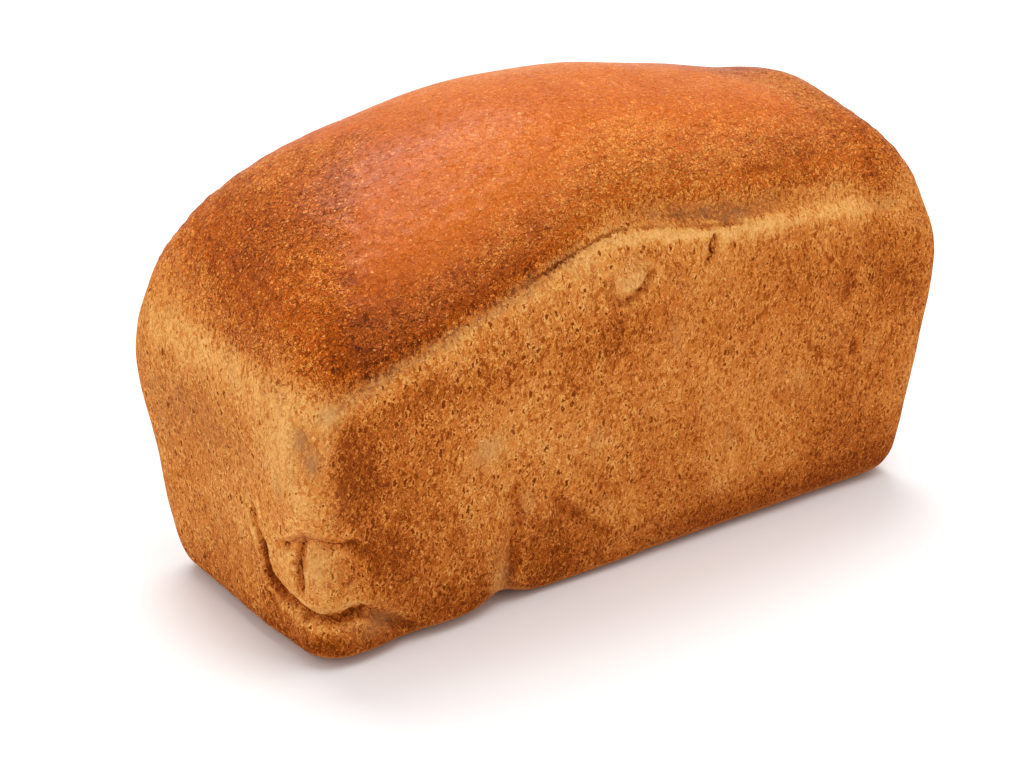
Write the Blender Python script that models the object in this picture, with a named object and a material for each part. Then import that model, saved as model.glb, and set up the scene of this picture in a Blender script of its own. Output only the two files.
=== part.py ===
"""A loaf of bread baked in an open tin, as one solid body.

The loaf lies along X with its long near side facing -Y. Z is up and the flat base is at
z = 0, under the middle of the loaf's bounding box. Every length is in metres.

The form is what the tin and the oven give it: four slightly leaning walls up to the
tin's rim, and above the rim a dome of risen dough that is higher on its left half.
Between the two runs a torn line, where the wall parted from the top crust as the dough
rose. The rest is relief on that form: the folds of the shaped dough at the near left
corner, a fold up the near side, and soft lumps.
"""

import math
from dataclasses import dataclass

import bmesh
import bpy
import numpy as np

# The tin
RIM_LENGTH = 0.2500
RIM_WIDTH = 0.1043
RIM_HEIGHT = 0.0899
WALL_LEAN = 0.0958
WALL_BELLY = 0.0020
LEAN_ABOVE_RIM = 0.35

# The risen top
CROWN_HEIGHT = 0.1565
CROWN_X = -0.0134
LEFT_FALL = 0.0273
LEFT_FALL_POWER = 1.6
RIGHT_FALL = 0.0220
RIGHT_FALL_POWER = 1.5
TOP_STEEPNESS = 0.9

# How broadly the faces round into each other
SIDE_SHOULDER = 0.0615
LEFT_SHOULDER = 0.0587
RIGHT_SHOULDER = 0.0380
UPRIGHT_EDGE = 0.0100
BASE_EDGE = 0.0074

# The torn line between the wall and the top crust
TEAR_PEAK_X = -0.008
TEAR_PEAK_HEIGHT = 0.1180
TEAR_LEFT_RUN = 0.109
TEAR_LEFT_FALL = 0.0331
TEAR_LEFT_POWER = 1.27
TEAR_RIGHT_RUN = 0.124
TEAR_RIGHT_FALL = 0.0213
TEAR_RIGHT_POWER = 1.09
TEAR_PEAK_ROUNDING = 0.03
FAR_TEAR_LOWERED = 0.006
FAR_TEAR_BLEND = 0.040

# The mesh: a cube's cells, cast outwards from a core inside the loaf
CORE_SHARE = (0.70, 0.38, 0.48)
CORE_RAISED = 0.69
CAST_SHARE = (1.5, 1.7, 2.2)

# Its cells along the loaf, across it and up it, and how the rows crowd at the tear
CELLS_ALONG = 40
CELLS_ACROSS = 20
CELLS_UP = 25
TEAR_ROW = 0.26
TEAR_ROW_HEIGHT = 0.1030
ROW_CROWDING = 0.58
ROW_CROWDING_REACH = 0.20
ROW_SLIDE_REACH = 0.033
FOLDS_ALONG = -0.02
FOLDS_ACROSS = -0.35
FOLDS_UP = -0.02

CRUST_COLOR = (0.46, 0.19, 0.055, 1.0)
CRUST_ROUGHNESS = 0.72

# Between which two values of the outward direction each kind of relief fades in
WALL_FADE = (0.15, 0.45)
TEAR_FADE = (0.35, 0.75)
DOME_FADE = (0.10, 0.50)
BASE_FADE = (-0.75, -0.35)

MM = 0.001


@dataclass(frozen=True)
class Crease:
    """A groove in the wall. The path's points are (round, up) in millimetres: the distance
    round the wall from the near left corner, negative on the left end, and the height."""

    path: tuple
    depth: float
    width: float


@dataclass(frozen=True)
class Swelling:
    """A soft lump of the wall, or a hollow where its height is negative, in millimetres."""

    round: float
    up: float
    half_length: float
    half_height: float
    height: float


@dataclass(frozen=True)
class Lip:
    """An edge of dough that hangs over a hollow below it, in millimetres."""

    path: tuple
    proud: float
    sunk: float
    edge: float
    reach: float


CREASES = (
    # The seam where the end's dough was folded round the near left corner
    Crease(((-27, 36), (-25, 23), (-18, 20), (-6, 18.5), (8, 17), (15, 18)), 3.4, 2.6),
    Crease(((15, 18), (24, 11), (35, 4)), 2.4, 2.6),
    # The slit in the hollow above that seam
    Crease(((-5, 45), (-8, 35), (-8, 26)), 2.2, 1.9),
    # The fold up the near side, over the notch in the base's edge
    Crease(((68, 2), (70, 16), (72.5, 30), (72, 40), (69, 52)), 2.6, 3.6),
    # Two slanting folds right of it
    Crease(((89, 34), (97, 24), (105, 16)), 1.5, 2.2),
    Crease(((97, 46), (104, 38), (110, 31)), 1.6, 2.4),
)

SWELLINGS = (
    # The corner: a dent, a puffed knob, two strands in the hollow, and the rolled foot
    Swelling(-1, 75, 4.5, 9, -2.6),
    Swelling(1, 59, 12, 8, 2.2),
    Swelling(-15, 33, 5, 9, 1.6),
    Swelling(1, 33, 6, 9, 1.4),
    Swelling(15, 5, 17, 8, 3.4),
    Swelling(-9, 4, 9, 8, -0.4),
    Swelling(-34, 7, 16, 9, 1.7),
    # The lobe left of the fold and the shallow trough right of it
    Swelling(50, 22, 20, 24, 1.5),
    Swelling(47, 5, 14, 8, 0.9),
    Swelling(84, 16, 12, 18, -1.0),
    # The round lump under the torn line
    Swelling(112.5, 105, 7.5, 7, 1.3),
    # Broad unevenness of the near side and the left end
    Swelling(40, 75, 24, 18, 0.7),
    Swelling(165, 55, 40, 30, -0.7),
    Swelling(205, 78, 25, 18, 0.6),
    Swelling(228, 10, 18, 22, 1.1),
    Swelling(242, 96, 14, 22, 0.4),
    Swelling(-50, 58, 28, 24, -0.6),
    Swelling(-62, 16, 40, 20, 0.9),
)

LIP = Lip(((-20, 40), (-9, 45), (-3, 49), (5, 46.5), (17, 43)), 1.5, 2.4, 1.6, 9.0)

NOTCH_X = -0.0495
NOTCH_HALF_LENGTH = 0.0085
NOTCH_DEPTH_INWARDS = 0.010
NOTCH_LIFT = 0.0042
NOTCH_FADE_Y = (-0.028, -0.040)

# The tear: a groove on its left part, and a lip below a torn recess on its right part
GROOVE_DEPTH = 0.0021
GROOVE_WIDTH = 0.0040
TEAR_LIP_HEIGHT = 0.0012
TEAR_LIP_WIDTH = 0.0030
RECESS_DEPTH = 0.0024
RECESS_WIDTH = 0.0036
RECESS_ABOVE = 0.0050
RECESS_LEFT_X = -0.014
RECESS_RIGHT_X = 0.098
RECESS_FADE = 0.014
RECESS_CLOSES = 0.75
TEAR_OFFSET = 0.001
TEAR_WANDER = 0.0005
TEAR_WANDER_LENGTHS = (0.041, 0.027)
TEAR_VARIATION = 0.3
TEAR_VARIATION_LENGTH = 0.053

# Dents and swellings of the dome: x, y, half length, height, in metres
DOME_MARKS = (
    (-0.034, 0.016, 0.018, 0.0006),
    (0.022, 0.018, 0.015, 0.0008),
    (0.100, 0.008, 0.015, 0.0022),
    (-0.110, 0.014, 0.022, 0.0009),
)
DOME_MARK_NARROWED = 0.7

# Slow waves over the whole crust, each in a direction of its own
UNEVEN_WAVES = 7
UNEVEN_HEIGHT = 0.00016
UNEVEN_LONGEST = 0.085
UNEVEN_SHORTEST = 0.034


def smooth_max(a, b, blend):
    """The larger of two values, rounded where they are closer than blend."""
    near = np.maximum(blend - np.abs(a - b), 0) / blend
    return np.maximum(a, b) + near * near * blend / 4


def smooth_step(low, high, value):
    """0 below low, 1 above high, and a smooth rise between them."""
    t = np.clip((value - low) / (high - low), 0, 1)
    return t * t * (3 - 2 * t)


def bell(value):
    """1 at 0, falling smoothly to nothing by about 2 on either side."""
    return np.exp(-value * value)


def wall_reach(z, rim_size):
    """Half the length or width that the loaf has at height z."""
    lean_height = np.minimum(z, RIM_HEIGHT) + LEAN_ABOVE_RIM * np.maximum(z - RIM_HEIGHT, 0)
    belly = np.sin(math.pi * np.clip(z / RIM_HEIGHT, 0, 1.3) / 1.3)
    base = rim_size / 2 - WALL_LEAN * RIM_HEIGHT
    return base + WALL_LEAN * lean_height + WALL_BELLY * belly


def form(points):
    """How far each point is outside the loaf's plain form; negative inside."""
    x, y, z = points.T
    beyond_end = np.abs(x) - wall_reach(z, RIM_LENGTH)
    beyond_side = np.abs(y) - wall_reach(z, RIM_WIDTH)
    along = (x - CROWN_X) / (RIM_LENGTH / 2)
    fall = np.where(
        along < 0,
        LEFT_FALL * np.abs(along) ** LEFT_FALL_POWER,
        RIGHT_FALL * np.abs(along) ** RIGHT_FALL_POWER,
    )
    above_top = (z - CROWN_HEIGHT + fall) * TOP_STEEPNESS
    end_shoulder = np.where(x < 0, LEFT_SHOULDER, RIGHT_SHOULDER)
    distance = smooth_max(
        smooth_max(beyond_side, above_top, SIDE_SHOULDER),
        smooth_max(beyond_end, above_top, end_shoulder),
        UPRIGHT_EDGE,
    )
    return smooth_max(distance, -z, BASE_EDGE)


def slope(points, step=2e-4):
    """The form's gradient, which points out of the loaf."""
    gradient = np.empty_like(points)
    for axis in range(3):
        offset = np.zeros(3)
        offset[axis] = step
        gradient[:, axis] = (form(points + offset) - form(points - offset)) / (2 * step)
    return gradient


def press_onto_form(points, rounds=6):
    """Moves points near the loaf's surface onto it."""
    for _ in range(rounds):
        gradient = slope(points)
        steepness = (gradient * gradient).sum(1)
        points = points - gradient * (form(points) / steepness)[:, None]
    return points


def cast_onto_form(cube):
    """Carries points of a cube's surface, from -1 to 1, out to the loaf's surface."""
    half_size = np.array((RIM_LENGTH, RIM_WIDTH, CROWN_HEIGHT)) / 2
    start = cube * half_size * CORE_SHARE
    start[:, 2] += half_size[2] * CORE_RAISED
    end = cube * half_size * CAST_SHARE
    end[:, 2] += half_size[2]
    inside = np.zeros(len(cube))
    outside = np.ones(len(cube))
    for _ in range(30):
        middle = (inside + outside) / 2
        is_out = form(start + (end - start) * middle[:, None]) > 0
        outside = np.where(is_out, middle, outside)
        inside = np.where(is_out, inside, middle)
    return start + (end - start) * inside[:, None]


def tear_fall(x):
    """How far the torn line lies below its peak at each place along one side."""
    offset = x - TEAR_PEAK_X
    run = np.where(offset < 0, TEAR_LEFT_RUN, TEAR_RIGHT_RUN)
    away = np.sqrt((offset / run) ** 2 + TEAR_PEAK_ROUNDING**2) - TEAR_PEAK_ROUNDING
    left = TEAR_LEFT_FALL * away**TEAR_LEFT_POWER
    right = TEAR_RIGHT_FALL * away**TEAR_RIGHT_POWER
    return np.where(offset < 0, left, right)


def tear_height(x, y):
    """The height of the torn line round the loaf. The far side's falls the other way."""
    far = smooth_step(-FAR_TEAR_BLEND, FAR_TEAR_BLEND, y)
    fall = (1 - far) * tear_fall(x) + far * (tear_fall(-x) + FAR_TEAR_LOWERED)
    return TEAR_PEAK_HEIGHT - fall


def path_distance(round_mm, up_mm, path):
    """The distance to a path, and how far along it the nearest place is, from 0 to 1."""
    nearest = np.full(round_mm.shape, np.inf)
    share = np.zeros(round_mm.shape)
    count = len(path) - 1
    for index, (start, end) in enumerate(zip(path, path[1:])):
        run, rise = end[0] - start[0], end[1] - start[1]
        t = ((round_mm - start[0]) * run + (up_mm - start[1]) * rise) / (run**2 + rise**2)
        t = np.clip(t, 0, 1)
        distance = np.hypot(round_mm - start[0] - t * run, up_mm - start[1] - t * rise)
        share = np.where(distance < nearest, (index + t) / count, share)
        nearest = np.minimum(nearest, distance)
    return nearest, share


def wall_marks(points, outward):
    """The height of the creases, lumps and the lip of the near side and the left end."""
    x, y, z = points.T
    facing = smooth_step(*WALL_FADE, np.maximum(-outward[:, 0], -outward[:, 1]))
    from_end = x + wall_reach(z, RIM_LENGTH)
    from_side = y + wall_reach(z, RIM_WIDTH)
    round_mm = (from_end - from_side) / MM
    up_mm = z / MM
    height = np.zeros(len(points))
    for mark in SWELLINGS:
        across = (round_mm - mark.round) / mark.half_length
        height += mark.height * bell(across) * bell((up_mm - mark.up) / mark.half_height)
    for crease in CREASES:
        distance, share = path_distance(round_mm, up_mm, crease.path)
        ends = smooth_step(0, 0.2, share + 0.08) * smooth_step(0, 0.2, 1.08 - share)
        height -= crease.depth * ends * bell(distance / crease.width)
    line_round, line_up = zip(*LIP.path)
    above = up_mm - np.interp(round_mm, line_round, line_up)
    middle, half = (line_round[0] + line_round[-1]) / 2, (line_round[-1] - line_round[0]) / 2
    held = bell(((round_mm - middle) / half) ** 2)
    step = (LIP.proud + LIP.sunk) / 2 * np.tanh(above / LIP.edge) + (LIP.proud - LIP.sunk) / 2
    height += held * step * np.exp(-np.abs(above) / LIP.reach)
    return height * facing * MM


def tear_marks(points, outward):
    """The height of the groove, the lip and the recess along the torn line."""
    x, y, z = points.T
    wander = sum(np.sin(math.tau * x / length + length) for length in TEAR_WANDER_LENGTHS)
    above = z - tear_height(x, y) - TEAR_WANDER * wander
    sideways = smooth_step(*TEAR_FADE, np.abs(outward[:, 1]))
    position = np.where(y < 0, x, -x)
    torn = smooth_step(RECESS_LEFT_X - RECESS_FADE, RECESS_LEFT_X + RECESS_FADE, position)
    closing = smooth_step(RECESS_RIGHT_X - RECESS_FADE, RECESS_RIGHT_X, position)
    torn *= 1 - RECESS_CLOSES * closing
    groove = -GROOVE_DEPTH * bell((above - TEAR_OFFSET) / GROOVE_WIDTH)
    lip = TEAR_LIP_HEIGHT * bell((above + TEAR_OFFSET) / TEAR_LIP_WIDTH)
    deep = 1 + TEAR_VARIATION * np.sin(math.tau * x / TEAR_VARIATION_LENGTH)
    recess = -RECESS_DEPTH * deep * bell((above - RECESS_ABOVE) / RECESS_WIDTH)
    return sideways * ((1 - torn) * groove + torn * (lip + recess))


def dome_marks(points, outward):
    """The height of the dome's broad dents and swellings."""
    x, y, _ = points.T
    height = np.zeros(len(points))
    for centre_x, centre_y, half_length, rise in DOME_MARKS:
        away = np.hypot(x - centre_x, (y - centre_y) * DOME_MARK_NARROWED)
        height += rise * bell(away / half_length)
    return height * smooth_step(*DOME_FADE, outward[:, 2])


def unevenness(points):
    """Slow waves that keep every face from being perfectly plain."""
    height = np.zeros(len(points))
    for wave in range(UNEVEN_WAVES):
        turn = math.pi * (3 - math.sqrt(5)) * wave
        direction = np.array((math.cos(turn), math.sin(turn), math.cos(1.7 * turn + 1)))
        direction /= np.linalg.norm(direction)
        share = wave / (UNEVEN_WAVES - 1)
        length = UNEVEN_LONGEST * (UNEVEN_SHORTEST / UNEVEN_LONGEST) ** share
        height += np.sin(math.tau / length * (points @ direction) + turn)
    return UNEVEN_HEIGHT * height


def make_grid():
    """A cube of even cells, with finer ones low on the wall where the dough is folded."""
    mesh = bmesh.new()
    bmesh.ops.create_cube(mesh, size=2)
    for axis, cells in enumerate((CELLS_ALONG, CELLS_ACROSS, CELLS_UP)):
        edges = [e for e in mesh.edges if abs(e.verts[0].co[axis] - e.verts[1].co[axis]) > 0.01]
        bmesh.ops.subdivide_edges(mesh, edges=edges, cuts=cells - 1, use_grid_fill=True)
    folded = set()
    for face in mesh.faces:
        x, y, z = face.calc_center_median()
        on_near_side = y < -0.99 and x < FOLDS_ALONG
        on_left_end = x < -0.99 and y < FOLDS_ACROSS
        if z < FOLDS_UP and (on_near_side or on_left_end):
            folded.update(face.edges)
    bmesh.ops.subdivide_edges(
        mesh, edges=list(folded), cuts=1, use_grid_fill=True, use_single_edge=True
    )
    return mesh


def crowd_rows(up):
    """Draws the rows of cells closer together round the one that will carry the tear."""

    def pulled(value):
        pull = np.tanh((value - TEAR_ROW) / ROW_CROWDING_REACH)
        return value - ROW_CROWDING * ROW_CROWDING_REACH * pull

    low, high = pulled(-1.0), pulled(1.0)
    return 2 * (pulled(up) - low) / (high - low) - 1


def slide_rows(points):
    """Bends the rows along the wall so that one of them follows the torn line."""
    x, y, z = points.T
    shift = tear_height(x, y) - TEAR_ROW_HEIGHT
    hold = bell((z - TEAR_ROW_HEIGHT) / ROW_SLIDE_REACH)
    moved = points.copy()
    moved[:, 2] += shift * hold
    return press_onto_form(moved)


def shape_loaf(cube):
    """Carries the grid's points onto the loaf and adds its relief."""
    cube = cube.copy()
    cube[:, 2] = crowd_rows(cube[:, 2])
    points = slide_rows(cast_onto_form(cube))
    outward = slope(points)
    outward /= np.linalg.norm(outward, axis=1)[:, None]
    standing = smooth_step(*BASE_FADE, outward[:, 2])
    height = wall_marks(points, outward) + tear_marks(points, outward)
    height += dome_marks(points, outward) + unevenness(points)
    points = points + outward * (height * standing)[:, None]
    x, y, z = points.T
    near_base = smooth_step(*NOTCH_FADE_Y, y) * bell(z / NOTCH_DEPTH_INWARDS)
    z = z + NOTCH_LIFT * bell((x - NOTCH_X) / NOTCH_HALF_LENGTH) * near_base
    points[:, 2] = np.maximum(z, 0)
    return points


def make_loaf():
    """Builds the loaf's mesh, centred over its base."""
    mesh = make_grid()
    mesh.verts.ensure_lookup_table()
    points = shape_loaf(np.array([vert.co for vert in mesh.verts], dtype=float))
    middle = (points.max(0) + points.min(0)) / 2
    points -= (middle[0], middle[1], points[:, 2].min())
    for vert, point in zip(mesh.verts, points):
        vert.co = point
    bmesh.ops.recalc_face_normals(mesh, faces=mesh.faces)
    bmesh.ops.triangulate(mesh, faces=mesh.faces)
    data = bpy.data.meshes.new("tin_loaf")
    mesh.to_mesh(data)
    mesh.free()
    data.shade_smooth()
    return data


def make_crust():
    """The baked crust's plain material."""
    material = bpy.data.materials.new("crust")
    material.use_nodes = True
    shader = material.node_tree.nodes["Principled BSDF"]
    shader.inputs["Base Color"].default_value = CRUST_COLOR
    shader.inputs["Roughness"].default_value = CRUST_ROUGHNESS
    shader.inputs["Metallic"].default_value = 0.0
    return material


def main():
    """Clears the scene and adds the loaf."""
    for other in list(bpy.data.objects):
        bpy.data.objects.remove(other)
    loaf = bpy.data.objects.new("tin_loaf", make_loaf())
    loaf.data.materials.append(make_crust())
    bpy.context.collection.objects.link(loaf)


main()
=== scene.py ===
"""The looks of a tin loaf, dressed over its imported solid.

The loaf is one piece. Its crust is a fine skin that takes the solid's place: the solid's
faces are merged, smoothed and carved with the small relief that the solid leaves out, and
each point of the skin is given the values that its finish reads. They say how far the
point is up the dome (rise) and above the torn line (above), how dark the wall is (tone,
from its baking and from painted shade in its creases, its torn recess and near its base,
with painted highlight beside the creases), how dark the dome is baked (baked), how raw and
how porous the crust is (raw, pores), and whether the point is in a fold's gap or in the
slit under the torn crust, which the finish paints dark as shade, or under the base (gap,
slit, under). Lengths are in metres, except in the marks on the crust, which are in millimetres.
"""

import logging
import math
from dataclasses import dataclass, field

import bmesh
import bpy
import numpy as np
from mathutils import Matrix, Vector, noise


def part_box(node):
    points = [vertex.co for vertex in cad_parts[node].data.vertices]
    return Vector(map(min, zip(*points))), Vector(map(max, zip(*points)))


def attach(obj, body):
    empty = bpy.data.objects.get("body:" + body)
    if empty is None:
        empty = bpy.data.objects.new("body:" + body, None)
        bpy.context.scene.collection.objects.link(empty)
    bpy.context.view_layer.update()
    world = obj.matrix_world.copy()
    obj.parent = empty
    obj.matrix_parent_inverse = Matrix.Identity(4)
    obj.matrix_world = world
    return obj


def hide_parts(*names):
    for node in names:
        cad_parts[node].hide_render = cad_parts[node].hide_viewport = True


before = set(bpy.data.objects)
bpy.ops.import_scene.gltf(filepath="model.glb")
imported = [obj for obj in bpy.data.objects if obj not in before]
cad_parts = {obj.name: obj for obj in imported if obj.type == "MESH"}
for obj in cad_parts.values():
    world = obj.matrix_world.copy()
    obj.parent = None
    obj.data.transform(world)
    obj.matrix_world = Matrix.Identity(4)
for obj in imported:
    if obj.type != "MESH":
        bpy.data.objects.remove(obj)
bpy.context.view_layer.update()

LOG = logging.getLogger("tin_loaf")

LOAF_NODE = "tin_loaf"
MM = 0.001
COLOR_INPUTS = (6, 7)
COLOR_OUTPUT = 2
NUMBER_INPUTS = (2, 3)
SPOT_MIDDLE = 0.3
RIM_WIDTH = 0.26


def smooth_step(low: float, high: float, value: np.ndarray) -> np.ndarray:
    """Rises smoothly from 0 at low to 1 at high.

    Args:
        low: The value that gives 0.
        high: The value that gives 1.
        value: The numbers to read.

    Returns:
        A number from 0 to 1 for each value.
    """
    share = np.clip((value - low) / (high - low), 0, 1)
    return share * share * (3 - 2 * share)


def bell(value: np.ndarray) -> np.ndarray:
    """Gives 1 at 0, falling smoothly to nothing by about 2 on either side."""
    return np.exp(-value * value)


def drift(points: np.ndarray, size: float, stretch: float = 1.0, octaves: int = 2) -> np.ndarray:
    """Reads smooth noise at each point.

    Args:
        points: Places on the loaf, one row each.
        size: The length of one wave.
        stretch: How many times longer the waves are upwards than sideways.
        octaves: How many finer layers are added.

    Returns:
        Numbers from about -1 to 1.
    """
    scaled = points / (size, size, size * stretch)
    return np.array([noise.fractal(Vector(place), 1.0, 2.0, octaves) for place in scaled])


@dataclass(frozen=True)
class Band:
    """A soft band round one value, such as a height above the torn line."""

    middle: float
    half_width: float
    strength: float = 1.0

    def at(self, value: np.ndarray) -> np.ndarray:
        """Gives the band's strength at each value."""
        return self.strength * bell((value - self.middle) / self.half_width)


@dataclass(frozen=True)
class RaggedBand:
    """A soft band whose strength has a plain part and one that goes with the raggedness."""

    middle: float
    half_width: float
    plain: float
    uneven: float

    def at(self, value: np.ndarray, ragged: np.ndarray) -> np.ndarray:
        """Gives the band's strength at each value, for the raggedness there."""
        here = bell((value - self.middle) / self.half_width)
        return here * (self.plain + self.uneven * ragged)


@dataclass(frozen=True)
class Fade:
    """A smooth change from 0 at one value to 1 at another."""

    start: float
    end: float

    def at(self, value: np.ndarray) -> np.ndarray:
        """Gives a number from 0 to 1 at each value."""
        return smooth_step(self.start, self.end, value)


@dataclass(frozen=True)
class Layer:
    """A layer of smooth noise, with how strong it is."""

    share: float
    size: float
    stretch: float = 1.0
    octaves: int = 2

    def at(self, points: np.ndarray) -> np.ndarray:
        """Reads the layer at each point."""
        return self.share * drift(points, self.size, self.stretch, self.octaves)


@dataclass(frozen=True)
class Crease:
    """A sharp groove along a path of (round, up) points on the wall, in millimetres.

    It paints shade into its groove and a highlight on its sides; its gap is how far the groove is
    painted dark as a shaded gap.
    """

    path: tuple[tuple[float, float], ...]
    depth: float
    width: float
    # How much painted shade darkens the groove, and painted highlight pales its sides
    shade_and_highlight: float = 0.0
    # How far the groove is painted dark as a shaded gap
    gap: float = 0.0


@dataclass(frozen=True)
class Patch:
    """A soft patch of the wall, in millimetres, with what it adds to each value there."""

    round: float
    up: float
    half_length: float
    half_height: float
    tone: float = 0.0
    raw: float = 0.0
    closed: float = 0.0
    swell: float = 0.0

    def at(self, round_mm: np.ndarray, up_mm: np.ndarray) -> np.ndarray:
        """Gives how much of the patch each place has, from 0 to 1."""
        along = bell((round_mm - self.round) / self.half_length)
        return along * bell((up_mm - self.up) / self.half_height)


@dataclass(frozen=True)
class DomePatch:
    """A soft patch of the dome, in millimetres, that is baked darker or paler."""

    x: float
    y: float
    half_length: float
    half_width: float
    tone: float

    def at(self, points: np.ndarray) -> np.ndarray:
        """Gives how much of the patch each point has, from 0 to 1."""
        along = bell((points[:, 0] / MM - self.x) / self.half_length)
        return along * bell((points[:, 1] / MM - self.y) / self.half_width)


@dataclass(frozen=True)
class TinForm:
    """The tin's form and the torn line over it, as the solid has them."""

    rim_length: float = 0.2500
    rim_width: float = 0.1043
    rim_height: float = 0.0899
    lean: float = 0.0958
    belly: float = 0.0020
    belly_end: float = 1.3
    lean_above: float = 0.35
    peak_x: float = -0.008
    peak_height: float = 0.1180
    left_run: float = 0.109
    left_fall: float = 0.0331
    left_power: float = 1.27
    right_run: float = 0.124
    right_fall: float = 0.0213
    right_power: float = 1.09
    peak_rounding: float = 0.03
    far_lowered: float = 0.006
    far_blend: float = 0.040

    def reach(self, z: np.ndarray, rim_size: float) -> np.ndarray:
        """Gives half the loaf's length or width at each height.

        Args:
            z: Heights.
            rim_size: The length or the width at the tin's rim.

        Returns:
            Distances from the middle.
        """
        over = np.maximum(z - self.rim_height, 0)
        lean_height = np.minimum(z, self.rim_height) + self.lean_above * over
        share = np.clip(z / self.rim_height, 0, self.belly_end)
        swell = np.sin(math.pi * share / self.belly_end)
        base = rim_size / 2 - self.lean * self.rim_height
        return base + self.lean * lean_height + self.belly * swell

    def round_and_up(self, points: np.ndarray) -> tuple[np.ndarray, np.ndarray]:
        """Places points on the wall as the marks on it are placed.

        Args:
            points: Places on the loaf, one row each.

        Returns:
            The distance round the wall from the near left corner, negative on the left
            end, and the height, both in millimetres.
        """
        x, y, z = points.T
        from_end = x + self.reach(z, self.rim_length)
        from_side = y + self.reach(z, self.rim_width)
        return (from_end - from_side) / MM, z / MM

    def fall(self, x: np.ndarray) -> np.ndarray:
        """Gives how far the torn line lies below its peak along one side."""
        offset = x - self.peak_x
        run = np.where(offset < 0, self.left_run, self.right_run)
        away = np.sqrt((offset / run) ** 2 + self.peak_rounding**2) - self.peak_rounding
        left = self.left_fall * away**self.left_power
        right = self.right_fall * away**self.right_power
        return np.where(offset < 0, left, right)

    def tear_height(self, points: np.ndarray) -> np.ndarray:
        """Gives the height of the torn line round the loaf at each point."""
        x, y, _ = points.T
        far = smooth_step(-self.far_blend, self.far_blend, y)
        fall = (1 - far) * self.fall(x) + far * (self.fall(-x) + self.far_lowered)
        return self.peak_height - fall


# Each crease: its path, depth and width, its painted shade with painted highlight beside it, and
# how far it is painted dark as a shaded gap
CREASES = (
    Crease(((-27, 37), (-25, 23), (-18, 20), (-6, 18.5), (8, 17), (15, 18)), 2.0, 1.4, 0.7, 0.8),
    Crease(((17, 17), (21, 14), (28, 9), (35, 4)), 1.5, 1.7, 0.2, 0.62),
    Crease(((-31, 47), (-30, 42), (-26, 36), (-26, 30)), 1.0, 1.1, 0.7, 0.75),
    Crease(((-3, 48), (-6, 41), (-8, 35), (-7, 30), (-8, 26)), 1.8, 1.2, 0.45, 0.86),
    Crease(((-16, 40), (-9, 44), (-3, 48), (2, 47), (6, 44.5), (14, 43)), 1.4, 1.1, 0.45, 0.88),
    Crease(((14, 43), (17, 39), (24, 36)), 0.6, 1.4, 0.25, 0.6),
    Crease(((68, 2), (69, 12), (71, 18), (72.5, 30), (72, 42)), 0.9, 2.1, 0.3, 0.5),
    Crease(((88, 35), (95, 27), (100, 22), (107, 16)), 0.45, 2.3, 0.3),
    Crease(((96, 47), (104, 38), (111, 30)), 0.4, 2.3, 0.2),
    Crease(((117, 98), (121, 99.5), (124, 103)), 1.3, 1.3, 0.7, 1.05),
    Crease(((108, 105), (109, 100), (113, 97.5), (117, 98)), 0.6, 1.1, 0.45),
    Crease(((148, 103), (148.5, 106.5), (149, 109)), 1.5, 1.4, 0.45, 1.05),
)

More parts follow.
